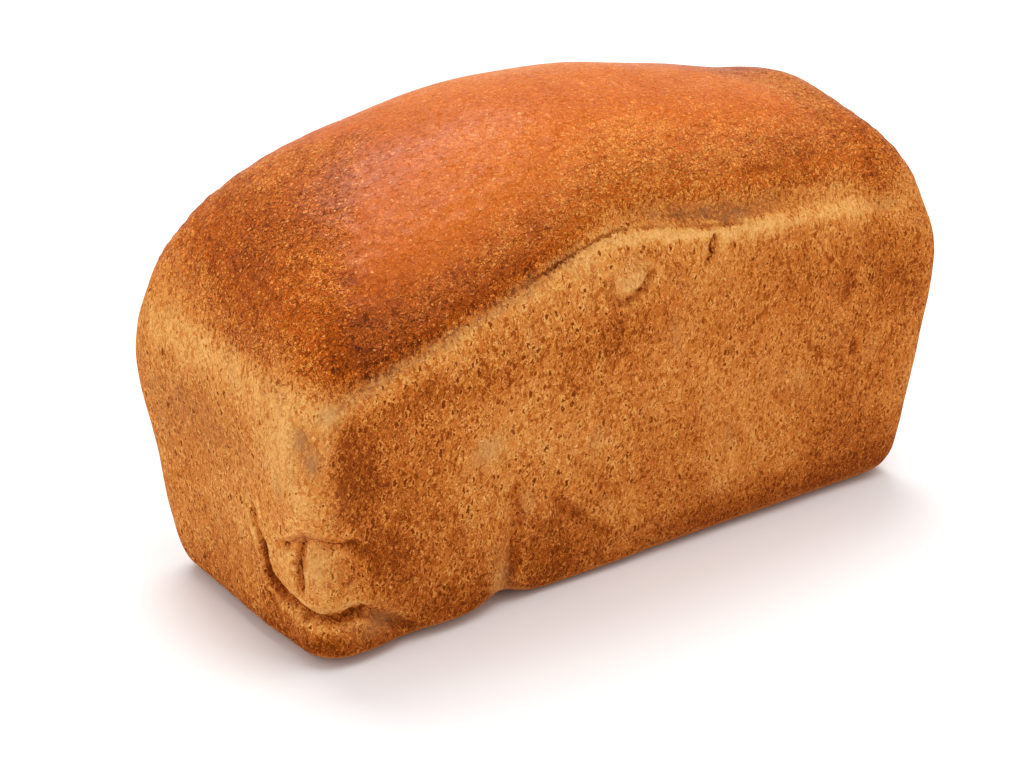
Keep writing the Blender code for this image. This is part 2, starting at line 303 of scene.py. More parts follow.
PATCHES = (
    # The grey dent at the top of the corner and the puffed knob under it
    Patch(-3, 79, 3.6, 4.4, tone=0.4, raw=0.85, closed=0.5),
    Patch(2, 72.5, 3.4, 4.2, tone=0.2, raw=0.85, closed=0.5),
    Patch(8, 78, 3.4, 9, tone=-0.55, raw=0.2, closed=0.5),
    Patch(-10, 76, 5, 9, tone=-0.35, closed=0.3),
    Patch(0, 60, 11, 7, tone=-0.6, raw=0.15, closed=0.3),
    Patch(-14, 62, 2.5, 3.5, raw=0.5, closed=0.6),
    Patch(9, 86, 6, 3, tone=-0.6, raw=0.5, closed=0.5),
    # The two strands in the hollow, and the rolled foot
    Patch(-15, 33, 5, 8, tone=-0.35, closed=0.7),
    Patch(1, 37, 6, 10, tone=-0.6, raw=0.35, closed=0.9),
    Patch(-5, 22, 16, 2.2, tone=-0.6, closed=0.6),
    Patch(22, 12, 7, 3.5, tone=-0.1, raw=0.5, closed=0.6),
    Patch(0, 7, 26, 6, tone=0.55, closed=0.3),
    Patch(-26, 28, 5, 12, tone=0.6),
    # The left lobe is darker, and the fold beside it is pale
    Patch(30, 64, 22, 22, tone=0.32),
    Patch(18, 70, 9, 18, tone=0.80),
    Patch(24, 34, 10, 9, tone=0.6),
    Patch(38, 30, 22, 22, tone=0.42),
    Patch(22, 42, 9, 14, tone=0.2),
    Patch(48, 12, 24, 15, tone=0.2),
    Patch(78, 44, 10, 15, tone=0.2),
    Patch(48, 45, 22, 26, tone=0.15),
    Patch(66, 10, 3.2, 9, tone=-0.7, raw=0.5, closed=0.7),
    Patch(64, 60, 5, 5, tone=-0.55, raw=0.5, closed=0.5),
    Patch(90, 20, 14, 14, tone=0.7),
    # The plain right part of the near side
    Patch(115, 103.5, 6.5, 5, tone=-0.8, raw=0.3, closed=0.4, swell=1.7),
    Patch(165, 60, 35, 30, tone=-0.08),
    Patch(215, 30, 36, 28, tone=0.9),
    Patch(228, 38, 22, 20, tone=-0.45),
    Patch(240, 32, 12, 18, tone=-0.3),
    Patch(234, 80, 18, 18, tone=0.28),
    Patch(146, 58, 12, 38, tone=0.16),
    Patch(122, 91, 20, 14, tone=0.36),
    Patch(118, 3, 14, 7, tone=-0.24),
    Patch(198, 86, 46, 18, tone=0.44),
    Patch(126, 32, 24, 17, tone=0.42),
    Patch(170, 8, 60, 8, tone=0.4),
    Patch(105, 72, 26, 15, tone=0.28),
    Patch(36, 85, 15, 7, tone=0.36),
    Patch(66, 84, 28, 12, tone=0.38),
    Patch(104, 88, 22, 9, tone=0.18),
    Patch(207, 80, 1.7, 3, tone=1.3),
    Patch(195, 58, 1.4, 3.2, tone=1.2),
    Patch(211, 57, 1.4, 2.6, tone=1.0),
    # The left end: a pale band under the dome, a reddish patch below it
    Patch(-45, 90, 60, 8, tone=-0.5, closed=0.4),
    Patch(-15, 78, 14, 18, tone=-0.65, raw=0.1, closed=0.1),
    Patch(-62, 66, 32, 13, tone=0.35, raw=0.28),
    Patch(-50, 34, 30, 16, tone=0.0, raw=0.12),
    Patch(-36, 20, 20, 14, tone=0.25),
    Patch(-20, 83, 8, 9, tone=0.42),
    Patch(-23, 14, 8, 7, tone=0.2),
)

# How far the torn crust's edge hangs below the torn line, by the place along the side
TEAR_SHIFTS = (
    (-110, 0.0),
    (-80, 1.9),
    (-45, 1.9),
    (-12, 0.0),
    (20, 1.5),
    (40, 0.8),
    (60, -1.4),
    (90, -3.4),
)

DOME_PATCHES = (
    DomePatch(-104, -50, 24, 10, 0.48),
    DomePatch(-64, -54, 38, 6, 0.65),
    DomePatch(-44, -42, 34, 10, -0.12),
    DomePatch(-114, -6, 16, 34, 0.6),
    DomePatch(-85, -20, 30, 20, 0.25),
    DomePatch(55, -46, 50, 14, 0.06),
    DomePatch(60, 20, 40, 30, 0.20),
    DomePatch(-5, 8, 70, 30, -0.56),
    DomePatch(-57, -27, 22, 12, -0.15),
    DomePatch(90, -5, 34, 44, -0.45),
    DomePatch(114, -32, 26, 30, 0.55),
    DomePatch(-20, 46, 90, 12, 0.35),
    DomePatch(2, -42, 32, 9, -0.34),
    DomePatch(-82, -36, 22, 10, -0.2),
    DomePatch(-68, -43, 24, 7, -0.18),
    DomePatch(-2, -30, 30, 7, -0.28),
    DomePatch(-108, -22, 12, 18, -0.22),
    DomePatch(-8, 8, 34, 12, 0.18),
    DomePatch(84, 8, 28, 13, 0.42),
    DomePatch(-42, -10, 48, 14, 0.28),
)


@dataclass
class LoafSkin:
    """The crust as one closed skin over the whole loaf.

    The solid's mesh is loose triangles. A copy of it is merged, its flat base is renewed
    so that the smoothing leaves the base's edge alone, and it is smoothed, carved and
    given its values.
    """

    form: TinForm = field(default_factory=TinForm)
    merge_distance: float = 1e-5
    quad_face_angle: float = math.radians(50)
    quad_shape_angle: float = math.radians(60)
    base_insets: tuple[float, ...] = (0.002, 0.006, 0.012)
    levels: int = 2
    swollen_edge: Band = Band(3.4, 1.6, 0.30)
    standing: Fade = Fade(-0.6, -0.2)
    on_dome: Fade = Fade(-1, 1)
    wall_pits: Layer = Layer(1.0, 0.0034, 1.9)
    pits_shown: Fade = Fade(0.12, 0.75)
    wall_pit_depth: float = 0.00034
    wall_waves: Layer = Layer(0.00028, 0.013, 1.3)
    wrinkles: Layer = Layer(0.00020, 0.0052, 0.42, 3)
    wrinkles_on_top: float = 0.35
    wrinkles_on_slope: float = 1.9
    slope: Fade = Fade(0.97, 0.72)
    wander: Layer = Layer(1.2, 0.0045)
    # How far a fold's painted dark gap reaches to either side
    gap_reach: float = 2.2
    crust_side: float = 0.8
    crust_torn: float = 6.8
    crust_end: float = 9.5
    soft_side: float = 3.4
    soft_end: float = 8.5
    border_layers: tuple[Layer, ...] = (Layer(1.5, 0.0035, 0.8), Layer(1.5, 0.011, 0.8))
    rise_range: tuple[float, float] = (-2, 8)

    # Along a long side, in millimetres from its middle
    torn: Fade = Fade(-34, 4)
    torn_less: Fade = Fade(88, 104)
    torn_less_share: float = 0.8
    line_ends: Fade = Fade(106, 122)
    recess_carved: Band = Band(24, 36)
    # Where along the side the recess is marked, with painted shade and rawer crust
    recess_shaded: Band = Band(28, 26)
    # Where the slit under the torn crust, painted dark as shade, starts and ends
    slit_starts: Fade = Fade(-56, -38)
    slit_ends: Fade = Fade(26, 50)
    less_fresh: Fade = Fade(40, 75)
    from_end: Fade = Fade(-4, 24)

    # Carved across the torn line, by the height above it in millimetres
    ragged: Layer = Layer(1.0, 0.0042, 0.6, 3)
    ragged_reach: float = 1.1
    crevice: Band = Band(0.6, 1.1, 0.7)
    crevice_torn_share: float = 0.75
    crevice_patches: Layer = Layer(1.0, 0.03, 1.0, 1)
    crevice_shown: Fade = Fade(-1.65, 0.15)
    recess: RaggedBand = RaggedBand(5.2, 2.4, 0.8, 0.6)
    crust_lip: RaggedBand = RaggedBand(9.3, 1.5, 0.275, 0.25)
    wall_lip: RaggedBand = RaggedBand(-0.6, 1.3, 0.35, 0.3)

    # Painted across the torn line, by the height above it in millimetres
    frayed_layers: tuple[Layer, ...] = (Layer(2.0, 0.0035, 0.7), Layer(1.2, 0.012, 0.7, 1))
    fresh_lip: Band = Band(-1.7, 2.3)
    fresh_most: float = 1.45
    fresh_lost: float = 0.75
    old_lip: Band = Band(-3.4, 2.9, 0.4)
    raw_edge: Band = Band(-0.4, 1.6, 0.5)
    # The recess under the torn crust: painted shade darkens it, and it is rawer with closed pores
    shaded_recess: Band = Band(3.6, 2.6)
    recess_shade_tone: float = 0.8
    recess_raw: float = 0.4
    recess_closed: float = 0.4
    lip_paleness: float = 0.85
    lip_closed: float = 0.2
    # Where the slit's painted shade breaks up, and how much of it is left there
    slit_patches: Layer = Layer(1.0, 0.02, 1.0, 1)
    slit_shown: Fade = Fade(-0.5, 0.3)
    slit_least: float = 0.35

    # The wall's and the dome's colour
    carved_sides: Fade = Fade(0.15, 0.45)
    painted_sides: Fade = Fade(0.05, 0.4)
    # Darker towards the base: partly the crust's own darker colour, partly painted shade near the
    # floor
    low_tone_and_shade: Band = Band(0, 13, 0.65)
    tone_layers: tuple[Layer, ...] = (
        Layer(0.20, 0.006, 1.6),
        Layer(0.22, 0.018, 1.5),
        Layer(0.20, 0.045, 1.0, 1),
    )
    # How far a crease's painted shade reaches, as a share of its width
    crease_reach: float = 1.3
    crease_closed: float = 0.5
    # Painted highlight on the sides of a crease
    highlight_beside_crease: Band = Band(3.6, 1.5, 0.45)
    plain_end: Fade = Fade(0.3, 0.7)
    plain_end_band: Band = Band(92, 9, 0.7)
    pale_tone: Fade = Fade(0.6, 0.1)
    raw_patches: Layer = Layer(1.0, 0.008, 1.8)
    raw_shown: Fade = Fade(0.15, 0.8)
    raw_share: float = 0.22
    fewer_pores: Fade = Fade(95, 150)
    fewer_pores_share: float = 0.35
    mottled_layer: Layer = Layer(1.0, 0.006, 0.6)
    mottled_low: float = 0.40
    mottled_lost: float = 0.24
    mottled_fades: Fade = Fade(2.5, 8)
    baked_layer: Layer = Layer(0.20, 0.030, 0.8)
    dark_border: Band = Band(1.5, 0.9, 0.25)
    pale_border: Band = Band(-0.3, 1.5)
    pale_border_share: float = 0.3
    pale_border_left: float = 0.45
    left_half: Fade = Fade(0.06, -0.06)
    under: Fade = Fade(-0.4, -0.9)
    above_most: float = 12.0

    def build(self) -> bpy.types.Object:
        """Makes the skin.

        Returns:
            The finished object, at the origin, with its values as attributes.
        """
        mesh = self._coarse_mesh()
        skin = bpy.data.objects.new("loaf_crust", mesh)
        bpy.context.scene.collection.objects.link(skin)
        self._smooth(skin)
        count = len(skin.data.vertices)
        points = np.empty(count * 3)
        outward = np.empty(count * 3)
        skin.data.vertices.foreach_get("co", points)
        skin.data.vertices.foreach_get("normal", outward)
        points, outward = points.reshape(-1, 3), outward.reshape(-1, 3)
        height = self._relief(points, outward)
        self._paint(skin.data, points, outward)
        carved = points + outward * height[:, None]
        carved[:, 2] = np.maximum(carved[:, 2], 0)
        skin.data.vertices.foreach_set("co", carved.ravel())
        skin.data.update()
        skin.data.shade_smooth()
        return skin

    def _coarse_mesh(self) -> bpy.types.Mesh:
        """Merges a copy of the solid's mesh into quads, on a renewed base."""
        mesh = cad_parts[LOAF_NODE].data.copy()
        mesh.name = "loaf_crust"
        mesh.materials.clear()
        work = bmesh.new()
        work.from_mesh(mesh)
        bmesh.ops.remove_doubles(work, verts=work.verts, dist=self.merge_distance)
        flat = [f for f in work.faces if max(v.co.z for v in f.verts) < self.merge_distance]
        bmesh.ops.delete(work, geom=flat, context="FACES")
        rim = [e for e in work.edges if e.is_boundary]
        low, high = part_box(LOAF_NODE)
        half_size = (high - low) / 2
        for inset in self.base_insets:
            grown = bmesh.ops.extrude_edge_only(work, edges=rim)["geom"]
            inner = [g for g in grown if isinstance(g, bmesh.types.BMVert)]
            rim = [g for g in grown if isinstance(g, bmesh.types.BMEdge)]
            shrink = (1 - inset / half_size.x, 1 - inset / half_size.y, 0)
            bmesh.ops.scale(work, vec=shrink, verts=inner)
        bmesh.ops.edgeloop_fill(work, edges=rim)
        bmesh.ops.join_triangles(
            work,
            faces=work.faces,
            angle_face_threshold=self.quad_face_angle,
            angle_shape_threshold=self.quad_shape_angle,
        )
        bmesh.ops.recalc_face_normals(work, faces=work.faces)
        work.to_mesh(mesh)
        work.free()
        return mesh

    def _smooth(self, skin: bpy.types.Object) -> None:
        """Subdivides the skin and keeps the result as its mesh."""
        finer = skin.modifiers.new("Finer", "SUBSURF")
        finer.levels = self.levels
        finer.render_levels = self.levels
        view = bpy.context.evaluated_depsgraph_get()
        coarse = skin.data
        skin.data = bpy.data.meshes.new_from_object(skin.evaluated_get(view))
        skin.modifiers.clear()
        bpy.data.meshes.remove(coarse)
        skin.data.name = "loaf_crust"

    def _wandering(self, points: np.ndarray) -> tuple[np.ndarray, np.ndarray]:
        """Places points on the wall with a slight wander, for marks that aren't straight."""
        round_mm, up_mm = self.form.round_and_up(points)
        return round_mm + self.wander.at(points), up_mm + self.wander.at(points[:, [2, 0, 1]])

    def _from_path(self, round_mm: np.ndarray, up_mm: np.ndarray, mark: Crease) -> np.ndarray:
        """Gives each point's distance from a crease's path.

        Args:
            round_mm: Distances round the wall.
            up_mm: Heights.
            mark: The crease.

        Returns:
            Distances in millimetres.
        """
        nearest = np.full(len(round_mm), np.inf)
        for start, end in zip(mark.path, mark.path[1:]):
            run, rise = end[0] - start[0], end[1] - start[1]
            share = ((round_mm - start[0]) * run + (up_mm - start[1]) * rise) / (run**2 + rise**2)
            share = np.clip(share, 0, 1)
            away = np.hypot(
                round_mm - start[0] - share * run,
                up_mm - start[1] - share * rise,
            )
            nearest = np.minimum(nearest, away)
        return nearest

    def _along(self, points: np.ndarray) -> np.ndarray:
        """Gives the place along a long side in millimetres, the same way round for both."""
        return np.where(points[:, 1] < 0, points[:, 0], -points[:, 0]) / MM

    def _torn(self, points: np.ndarray) -> tuple[np.ndarray, np.ndarray, np.ndarray]:
        """Reads where each point lies in relation to the torn line.

        Args:
            points: Places on the loaf, one row each.

        Returns:
            The height above the line in millimetres, how far the crust is torn open there
            from 0 to 1, and how much the line counts there, which is nothing on the ends.
        """
        above = (points[:, 2] - self.form.tear_height(points)) / MM
        position = self._along(points)
        above += np.interp(position, *zip(*TEAR_SHIFTS))
        torn = self.torn.at(position)
        torn *= 1 - self.torn_less_share * self.torn_less.at(position)
        past = self.form.reach(points[:, 2], self.form.rim_length) - np.abs(points[:, 0])
        beside = self.form.reach(points[:, 2], self.form.rim_width) - np.abs(points[:, 1])
        return above, torn, self.from_end.at((past - beside) / MM)

    def _relief(self, points: np.ndarray, outward: np.ndarray) -> np.ndarray:
        """Works out the fine relief.

        Args:
            points: Places on the smoothed skin, one row each.
            outward: Directions out of it.

        Returns:
            How far each point moves outwards.
        """
        above, torn, on_side = self._torn(points)
        facing = self.carved_sides.at(np.maximum(-outward[:, 0], -outward[:, 1]))
        standing = self.standing.at(outward[:, 2])
        round_mm, up_mm = self._wandering(points)
        height = np.zeros(len(points))
        for mark in CREASES:
            away = self._from_path(round_mm, up_mm, mark)
            groove = bell(away / mark.width)
            height -= mark.depth * MM * (groove - self.swollen_edge.at(away)) * facing
        for patch in PATCHES:
            if patch.swell:
                height += patch.swell * MM * patch.at(round_mm, up_mm) * facing

        ragged = self.ragged.at(points)
        edge = above + self.ragged_reach * ragged
        crevice = self.crevice.at(edge) * (1 - self.crevice_torn_share * torn)
        crevice *= self.crevice_shown.at(self.crevice_patches.at(points))
        open_most = self.recess_carved.at(self._along(points))
        recess = self.recess.at(edge, ragged) * torn * open_most
        lips = (self.crust_lip.at(edge, ragged) + self.wall_lip.at(edge, ragged)) * torn
        height += on_side * MM * (lips - recess - crevice)

        dome = self.on_dome.at(self._rise(points, above, torn, on_side))
        wall = (1 - dome) * standing
        height -= self.wall_pit_depth * wall * self.pits_shown.at(self.wall_pits.at(points))
        height += wall * self.wall_waves.at(points)
        shoulder = self.wrinkles_on_top + self.wrinkles_on_slope * self.slope.at(outward[:, 2])
        height += dome * self.wrinkles.at(points) * shoulder
        return height * standing

    def _rise(
        self, points: np.ndarray, above: np.ndarray, torn: np.ndarray, on_side: np.ndarray
    ) -> np.ndarray:
        """Gives how far each point is up past the dark crust's border.

        Args:
            points: Places on the loaf, one row each.
            above: Heights above the torn line in millimetres.
            torn: How far the crust is torn open.
            on_side: 1 on the long sides, falling to 0 on the ends.

        Returns:
            0 on the border, counted in units of the border's softness.
        """
        border = self.crust_side + (self.crust_torn - self.crust_side) * torn
        border = self.crust_end + (border - self.crust_end) * on_side
        softness = self.soft_end + (self.soft_side - self.soft_end) * on_side
        ragged = sum(layer.at(points) for layer in self.border_layers)
        return np.clip((above - border + ragged) / softness, *self.rise_range)

    def _marked(
        self, points: np.ndarray, outward: np.ndarray
    ) -> tuple[np.ndarray, np.ndarray, np.ndarray, np.ndarray, np.ndarray]:
        """Adds up what the patches and the creases do to the wall.

        Args:
            points: Places on the smoothed skin, one row each.
            outward: Directions out of it.

        Returns:
            The wall's tone, with the creases' painted shade and highlight, how raw it is, how far
            its pores are closed, its gaps, which are painted dark as shade, and the wandering
            distance round the wall.
        """
        facing = self.painted_sides.at(np.maximum(-outward[:, 0], -outward[:, 1]))
        # The right end takes the patches of the side next to it, mirrored
        marked = np.maximum(facing, self.painted_sides.at(outward[:, 0]))
        round_mm, up_mm = self.form.round_and_up(points)
        # Darker towards the base: partly the crust's own colour, partly painted shade near the
        # floor
        tone = self.low_tone_and_shade.at(up_mm) + sum(layer.at(points) for layer in self.tone_layers)
        raw = np.zeros(len(points))
        closed = np.zeros(len(points))
        for patch in PATCHES:
            here = patch.at(round_mm, up_mm) * marked
            tone += patch.tone * here
            raw += patch.raw * here
            closed += patch.closed * here
        gap = np.zeros(len(points))
        round_mm, up_mm = self._wandering(points)
        for mark in CREASES:
            away = self._from_path(round_mm, up_mm, mark)
            here = bell(away / (self.crease_reach * mark.width))
            # Painted shade in each crease's groove, with painted highlight beside it
            tone += mark.shade_and_highlight * (here - self.highlight_beside_crease.at(away)) * facing
            closed += self.crease_closed * here * facing
            # Painted shade: the fold's gap, painted dark
            gap = np.maximum(gap, (mark.gap - away / self.gap_reach) * facing)
        plain_end = self.plain_end.at(np.abs(outward[:, 0])) * (1 - facing)
        tone -= plain_end * self.plain_end_band.at(up_mm)
        return tone, raw, closed, gap, round_mm

    def _torn_marks(
        self, points: np.ndarray, above: np.ndarray, torn: np.ndarray, on_side: np.ndarray
    ) -> tuple[np.ndarray, np.ndarray, np.ndarray, np.ndarray]:
        """Works out what the torn line does to the crust beside it.

        Args:
            points: Places on the smoothed skin, one row each.
            above: Heights above the torn line in millimetres.
            torn: How far the crust is torn open.
            on_side: 1 on the long sides, falling to 0 on the ends.

        Returns:
            What it adds to the wall's tone, with painted shade in the recess under the torn
            crust, to how raw it is and to how far its pores are closed, and the slit under the
            crust, which is painted dark as shade.
        """
        frayed = above + sum(layer.at(points) for layer in self.frayed_layers)
        position = self._along(points)
        fresh = torn * (self.fresh_most - self.fresh_lost * self.less_fresh.at(position))
        lip = self.fresh_lip.at(frayed) * fresh + self.old_lip.at(frayed) * (1 - torn)
        edge = self.raw_edge.at(frayed) * (1 - torn)
        # Painted shade in the recess under the torn crust's overhang, which is also rawer
        recess = self.shaded_recess.at(frayed) * torn * self.recess_shaded.at(position)
        shown = on_side * (1 - self.line_ends.at(position))
        # The slit under the torn crust, painted dark as shade
        slit = self.slit_starts.at(position) * (1 - self.slit_ends.at(position)) * shown
        broken = self.slit_shown.at(self.slit_patches.at(points))
        slit *= self.slit_least + (1 - self.slit_least) * broken
        return (
            shown * (self.recess_shade_tone * recess - self.lip_paleness * lip),
            shown * (self.recess_raw * recess + edge),
            shown * (self.recess_closed * recess + self.lip_closed * lip),
            slit,
        )

    def _baked(
        self, points: np.ndarray, rise: np.ndarray, torn: np.ndarray, on_side: np.ndarray
    ) -> np.ndarray:
        """Gives how dark the dome is baked at each point.

        Args:
            points: Places on the smoothed skin, one row each.
            rise: How far the points are up past the dark crust's border.
            torn: How far the crust is torn open.
            on_side: 1 on the long sides, falling to 0 on the ends.

        Returns:
            0 for the usual brown, more where it is darker.
        """
        mottled = self.mottled_low - self.mottled_lost * self.mottled_fades.at(rise)
        baked = mottled * self.mottled_layer.at(points) + self.baked_layer.at(points)
        for patch in DOME_PATCHES:
            baked += patch.tone * patch.at(points)
        baked += on_side * self.dark_border.at(rise) * (1 - torn)
        pale = self.pale_border_share + self.pale_border_left * self.left_half.at(points[:, 0])
        return baked - (1 - on_side) * pale * self.pale_border.at(rise)

    def _paint(self, mesh: bpy.types.Mesh, points: np.ndarray, outward: np.ndarray) -> None:
        """Stores the values that the crust's finish reads.

        Args:
            mesh: The skin's mesh.
            points: Places on the smoothed skin, one row each.
            outward: Directions out of it.
        """
        above, torn, on_side = self._torn(points)
        rise = self._rise(points, above, torn, on_side)
        tone, raw, closed, gap, round_mm = self._marked(points, outward)
        pale = (1 - self.on_dome.at(rise)) * self.pale_tone.at(tone)
        raw += self.raw_share * pale * self.raw_shown.at(self.raw_patches.at(points))
        more_tone, more_raw, more_closed, slit = self._torn_marks(points, above, torn, on_side)
        open_pores = 1 - closed - more_closed
        open_pores -= self.fewer_pores_share * self.fewer_pores.at(round_mm)
        under = self.under.at(outward[:, 2])
        values = {
            "rise": rise,
            "tone": np.clip(tone + more_tone, -1, 1) * (1 - under),
            "baked": self._baked(points, rise, torn, on_side),
            "raw": np.clip(raw + more_raw, 0, 1),
            "pores": np.clip(open_pores, 0, 1),
            "under": under,
            "above": np.clip(above, -self.above_most, self.above_most),
            # Where the slit and the folds' gaps are painted dark as shade
            "slit": slit,
            "gap": np.clip(gap, 0, 1),
        }
        for name, value in values.items():
            layer = mesh.attributes.new(name, "FLOAT", "POINT")
            layer.data.foreach_set("value", value.astype(np.float32))


class NodeBench:
    """Adds nodes to one tree and joins them."""

    def __init__(self, tree: bpy.types.NodeTree) -> None:
        """Keeps the tree to work on."""
        self.tree = tree

    def add(self, kind: str, **settings: object) -> bpy.types.Node:
        """Adds a node with the given settings."""
        node = self.tree.nodes.new(kind)
        for name, value in settings.items():
            setattr(node, name, value)
        return node

    def feed(self, socket: bpy.types.NodeSocket, value: object) -> None:
        """Joins an output to a socket, or sets the socket to a plain value."""
        if isinstance(value, bpy.types.NodeSocket):
            self.tree.links.new(value, socket)
        else:
            socket.default_value = value

    def math(self, operation: str, first: object, second: object = 0.0) -> bpy.types.NodeSocket:
        """Adds a Math node and gives its output."""
        node = self.add("ShaderNodeMath", operation=operation)
        self.feed(node.inputs[0], first)
        self.feed(node.inputs[1], second)
        return node.outputs[0]

    def scaled_sum(self, *terms: tuple[object, float]) -> bpy.types.NodeSocket:
        """Adds up outputs, each multiplied by its own number."""
        total: object = 0.0
        for value, share in terms:
            node = self.add("ShaderNodeMath", operation="MULTIPLY_ADD")
            self.feed(node.inputs[0], value)
            self.feed(node.inputs[1], share)
            self.feed(node.inputs[2], total)
            total = node.outputs[0]
        return total

    def remap(self, value: object, low: object, high: object) -> bpy.types.NodeSocket:
        """Turns a value into a smooth 0 to 1 between low and high."""
        node = self.add("ShaderNodeMapRange", interpolation_type="SMOOTHSTEP")
        self.feed(node.inputs["Value"], value)
        self.feed(node.inputs["From Min"], low)
        self.feed(node.inputs["From Max"], high)
        return node.outputs["Result"]

    def mix(self, share: object, first: object, second: object) -> bpy.types.NodeSocket:
        """Mixes two colours."""
        node = self.add("ShaderNodeMix", data_type="RGBA")
        self.feed(node.inputs[0], share)
        for index, value in zip(COLOR_INPUTS, (first, second)):
            self.feed(node.inputs[index], value)
        return node.outputs[COLOR_OUTPUT]

    def blend(self, share: object, first: object, second: object) -> bpy.types.NodeSocket:
        """Mixes two numbers."""
        node = self.add("ShaderNodeMix", data_type="FLOAT")
        self.feed(node.inputs[0], share)
        for index, value in zip(NUMBER_INPUTS, (first, second)):
            self.feed(node.inputs[index], value)
        return node.outputs[0]

    def ramp(self, value: object, stops: tuple) -> bpy.types.NodeSocket:
        """Adds a colour ramp with the given (place, colour) stops."""
        node = self.add("ShaderNodeValToRGB")
        self.feed(node.inputs[0], value)
        elements = node.color_ramp.elements
        for index, (place, color) in enumerate(stops):
            stop = elements[index] if index < 2 else elements.new(place)
            stop.position = place
            stop.color = color
        return node.outputs["Color"]

    def stretch(self, vector: object, scale: tuple[float, float, float]) -> bpy.types.NodeSocket:
        """Stretches a vector."""
        node = self.add("ShaderNodeVectorMath", operation="MULTIPLY")
        self.feed(node.inputs[0], vector)
        node.inputs[1].default_value = scale
        return node.outputs[0]

    def read(self, name: str) -> bpy.types.NodeSocket:
        """Reads one of the skin's values."""
        node = self.add("ShaderNodeAttribute", attribute_name=name)
        return node.outputs["Fac"]

    def noise(
        self, vector: object, scale: object, detail: float, roughness: float = 0.6
    ) -> bpy.types.Node:
        """Adds a noise texture."""
        node = self.add("ShaderNodeTexNoise")
        self.feed(node.inputs["Vector"], vector)
        self.feed(node.inputs["Scale"], scale)
        node.inputs["Detail"].default_value = detail
        node.inputs["Roughness"].default_value = roughness
        return node

    def group(self, tree: bpy.types.NodeTree, **values: object) -> bpy.types.Node:
        """Places a node group with its own values."""
        node = self.add("ShaderNodeGroup", node_tree=tree)
        for name, value in values.items():
            self.feed(node.inputs[name], value)
        return node


def new_group(name: str, inputs: tuple, outputs: tuple) -> tuple[NodeBench, dict, dict]:
    """Starts a shader node group.

    Args:
        name: The group's name.
        inputs: (name, socket kind, default) of each input; None leaves the default.
        outputs: (name, socket kind) of each output.

    Returns:
        The bench for its tree, its inputs' sockets by name, and its outputs' by name.
    """
    tree = bpy.data.node_groups.new(name, "ShaderNodeTree")
    for label, kind, default in inputs:
        socket = tree.interface.new_socket(label, in_out="INPUT", socket_type=kind)
        if default is not None:
            socket.default_value = default
    for label, kind in outputs:
        tree.interface.new_socket(label, in_out="OUTPUT", socket_type=kind)
    bench = NodeBench(tree)
    given = bench.add("NodeGroupInput").outputs
    taken = bench.add("NodeGroupOutput").inputs
    return (
        bench,
        {label: given[label] for label, _, _ in inputs},
        {label: taken[label] for label, _ in outputs},
    )


def spots_group() -> bpy.types.NodeTree:
    """Makes scattered spots of uneven size and strength, such as pits or blisters.

    Returns:
        A group that gives the spots, and the rims round them. The crust's finish uses the pits'
        spots as painted shade and their rims as painted highlight.
    """
    bench, given, taken = new_group(
        "Scattered_spots",
        (
            ("Vector", "NodeSocketVector", None),
            ("Scale", "NodeSocketFloat", 500.0),
            ("Least", "NodeSocketFloat", 0.1),
            ("Spread", "NodeSocketFloat", 0.4),
            ("Faint", "NodeSocketFloat", 0.3),
        ),
        (("Spot", "NodeSocketFloat"), ("Rim", "NodeSocketFloat")),
    )
    cells = bench.add("ShaderNodeTexVoronoi")
    bench.feed(cells.inputs["Vector"], given["Vector"])
    bench.feed(cells.inputs["Scale"], given["Scale"])
    draw = bench.add("ShaderNodeSeparateColor")
    bench.feed(draw.inputs[0], cells.outputs["Color"])
    spread = bench.math("MULTIPLY", bench.math("POWER", draw.outputs[0], 2.0), given["Spread"])
    radius = bench.math("ADD", spread, given["Least"])
    middle = bench.math("MULTIPLY", radius, SPOT_MIDDLE)
    spot = bench.remap(cells.outputs["Distance"], radius, middle)
    strength = bench.blend(draw.outputs[1], given["Faint"], 1.0)
    bench.feed(taken["Spot"], bench.math("MULTIPLY", spot, strength))
    rim = bench.remap(cells.outputs["Distance"], bench.math("ADD", radius, RIM_WIDTH), radius)
    rim = bench.math("MULTIPLY", bench.math("SUBTRACT", rim, spot), strength)
    bench.feed(taken["Rim"], rim)
    return bench.tree


def fibres_group() -> bpy.types.NodeTree:
    """Makes thin winding lines, like the fibres of a dough's skin.

    Returns:
        A group that gives 1 on the lines, and the soft waves that they run between.
    """
    bench, given, taken = new_group(
        "Dough_fibres",
        (
            ("Vector", "NodeSocketVector", None),
            ("Scale", "NodeSocketFloat", 430.0),
            ("Width", "NodeSocketFloat", 0.08),
        ),
        (("Line", "NodeSocketFloat"), ("Wave", "NodeSocketFloat")),
    )
    soft = bench.noise(given["Vector"], given["Scale"], 1.0).outputs["Fac"]
    wave = bench.math("SUBTRACT", soft, 0.5)
    bench.feed(taken["Line"], bench.remap(bench.math("ABSOLUTE", wave), given["Width"], 0.0))
    bench.feed(taken["Wave"], wave)
    return bench.tree


